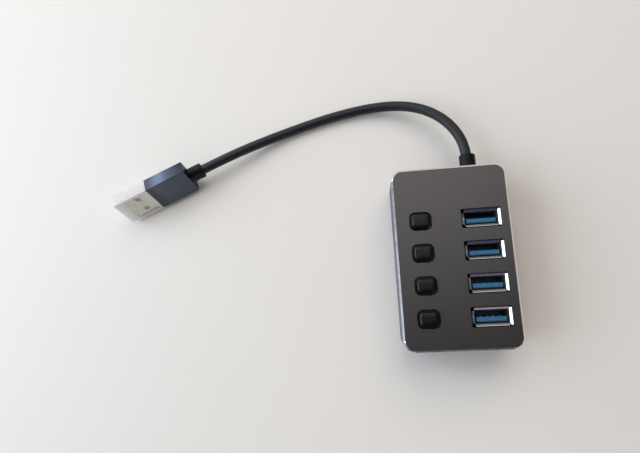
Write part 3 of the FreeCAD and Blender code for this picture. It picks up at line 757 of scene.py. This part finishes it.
# ---------------------------------------------------------------- lead
lead = nurbs_line("lead", LEAD_POINTS, LEAD_DIAMETER / 2)
dress(lead, "jacket")
settle(lead, "hub", "jacket", "cable")

# ---------------------------------------------------------------- floor and light
FLOOR_DROP = 0.02 * MM          # keeps the floor from lying in the plane of the feet
FLOOR_FADES = (0.35, 1.2)       # metres from the hub
FLOOR_HALF = 3.0
DOME_RADIUS = 2.5
STRIP_PLACE = (0, -0.13, 0.006)
STRIP_HALF = 0.5
STRIP_SQUASH = 0.012            # its height for its width
bm = bmesh.new()
bmesh.ops.create_grid(bm, x_segments=1, y_segments=1, size=FLOOR_HALF)
bmesh.ops.translate(bm, verts=bm.verts, vec=(0, 0, -FLOOR_DROP))
floor = new_piece("floor", bm)
# far from the hub the floor fades into the pale studio behind it
tree = MAT["floor"].node_tree
away = add_node(tree, "VectorMath", operation="LENGTH")
tree.links.new(add_node(tree, "TexCoord").outputs["Object"], away.inputs[0])
faded = add_node(tree, "MixShader")
tree.links.new(remap(tree, away.outputs["Value"], {"From Min": FLOOR_FADES[0],
                                                   "From Max": FLOOR_FADES[1]}, "SMOOTHSTEP"),
               faded.inputs["Fac"])
tree.links.new(tree.nodes["Principled BSDF"].outputs["BSDF"], faded.inputs[1])
tree.links.new(add_node(tree, "BsdfTransparent").outputs["BSDF"], faded.inputs[2])
tree.links.new(faded.outputs["Shader"], tree.nodes["Material Output"].inputs["Surface"])
dress(floor, "floor")


def only_reflected(thing):
    """Makes this part of the stage visible in reflections alone."""
    thing.visible_camera = False
    thing.visible_diffuse = False
    thing.visible_shadow = False


# a dark upright strip across the front, where the room that the hub reflects is dark
bm = bmesh.new()
bmesh.ops.create_grid(bm, x_segments=1, y_segments=1, size=STRIP_HALF)
bmesh.ops.transform(bm, verts=bm.verts, matrix=Matrix.Translation(STRIP_PLACE)
                    @ Matrix.Rotation(math.pi / 2, 4, "X")
                    @ Matrix.Diagonal((1, STRIP_SQUASH, 1, 1)))
strip = new_piece("dark_strip", bm)
dress(strip, "foot")
only_reflected(strip)


def area_light(name, place, target, size, power, color, reflected):
    """A rectangular lamp that faces target. Reflections show it only if reflected is true."""
    light = bpy.data.lights.new(name, "AREA")
    light.shape = "RECTANGLE"
    light.size, light.size_y = size
    light.energy = power
    light.color = color
    lamp = new_object(name, light)
    lamp.location = place
    lamp.rotation_euler = (Vector(target) - Vector(place)).to_track_quat("-Z", "Y").to_euler()
    lamp.visible_glossy = reflected


area_light("key", (0.12, 0.80, 0.95), (0, 0.03, 0), (1.2, 1.0), 8.5,
           (1.0, 0.90, 0.79), reflected=False)
area_light("fill", (-0.70, -0.50, 0.85), (-0.03, 0, 0), (1.2, 1.0), 2.8,
           (1.0, 0.95, 0.92), reflected=False)
area_light("window", (-0.85, 0.14, 0.48), (-0.03, 0.02, 0), (1.0, 0.8), 8.0,
           (0.78, 0.88, 1.0), reflected=True)


def add_glows(tree, direction, base, glows):
    """A base colour, and colours that fade in towards given directions.

    Each glow is its colour, the direction that it lies in, and the cosines at which it is
    not seen and fully seen.
    """
    total = add_node(tree, "CombineXYZ")
    for socket, number in zip(total.inputs, base):
        socket.default_value = number
    total = total.outputs["Vector"]
    for color, towards, none_at, full_at in glows:
        facing = add_node(tree, "VectorMath", operation="DOT_PRODUCT")
        facing.inputs[1].default_value = towards
        tree.links.new(direction, facing.inputs[0])
        amount = remap(tree, facing.outputs["Value"],
                       {"From Min": none_at, "From Max": full_at}, "SMOOTHSTEP")
        both = add_node(tree, "VectorMath", operation="ADD")
        tree.links.new(total, both.inputs[0])
        tree.links.new(scaled_color(tree, color, amount), both.inputs[1])
        total = both.outputs["Vector"]
    return total


# a plain studio all round, pale at the horizon and below it, and darker overhead
studio = bpy.data.worlds.new("studio")
bpy.context.scene.world = studio
studio.use_nodes = True
tree = studio.node_tree
tree.links.new(add_glows(tree, add_node(tree, "TexCoord").outputs["Generated"],
                         (0.13, 0.13, 0.13), [((0.50, 0.49, 0.48), (0, 0, 1), 0.65, 0.0)]),
               tree.nodes["Background"].inputs["Color"])

# what the glossy surfaces reflect: a dome that is only seen in reflections. The faint glows
# are there so that the face isn't black when it is seen from the sides.
FAINT = (0.34, 0.33, 0.33)
GLOWS = [
    ((0.016, 0.009, 0.060), (0.0, -1.0, 0.1), 0.3, 1.0),            # violet, in front
    ((0.42, 0.35, 0.29), (0.233, -0.972, 0.0), 0.955, 0.985),       # a narrow warm one in it
    ((1.22, 1.19, 1.18), (0.0, 0.50, 0.866), 0.75, 1.0),            # bright, high behind the hub
    ((0.11, 0.105, 0.09), (0.0, 1.0, 0.0), 0.6, 0.95),              # dim and warm, low behind it
    ((0.80, 1.02, 1.25), (-0.61, 0.715, 0.345), 0.80, 1.0),         # cool, behind at the left
    ((0.42, 0.46, 0.56), (-0.93, -0.37, 0.0), 0.7, 1.0),            # cool, low at the left
    (FAINT, (0.80, -0.56, 0.2), 0.84, 0.98),
    (FAINT, (-0.70, 0.68, 0.2), 0.8, 0.98),
    (FAINT, (0.70, 0.68, 0.2), 0.8, 0.98),
]
bm = bmesh.new()
bmesh.ops.create_uvsphere(bm, u_segments=48, v_segments=24, radius=DOME_RADIUS)
dome = new_piece("reflected_room", bm)
room = bpy.data.materials.new("reflected_room")
room.use_nodes = True
room.cycles.emission_sampling = "NONE"
tree = room.node_tree
tree.nodes.clear()
outward = add_node(tree, "VectorMath", operation="NORMALIZE")
tree.links.new(add_node(tree, "TexCoord").outputs["Object"], outward.inputs[0])
glow = add_node(tree, "Emission")
tree.links.new(add_glows(tree, outward.outputs["Vector"], (0.018, 0.018, 0.028), GLOWS),
               glow.inputs["Color"])
tree.links.new(glow.outputs["Emission"], add_node(tree, "OutputMaterial").inputs["Surface"])
dome.data.materials.append(room)
only_reflected(dome)

bpy.context.scene.view_settings.view_transform = "Standard"
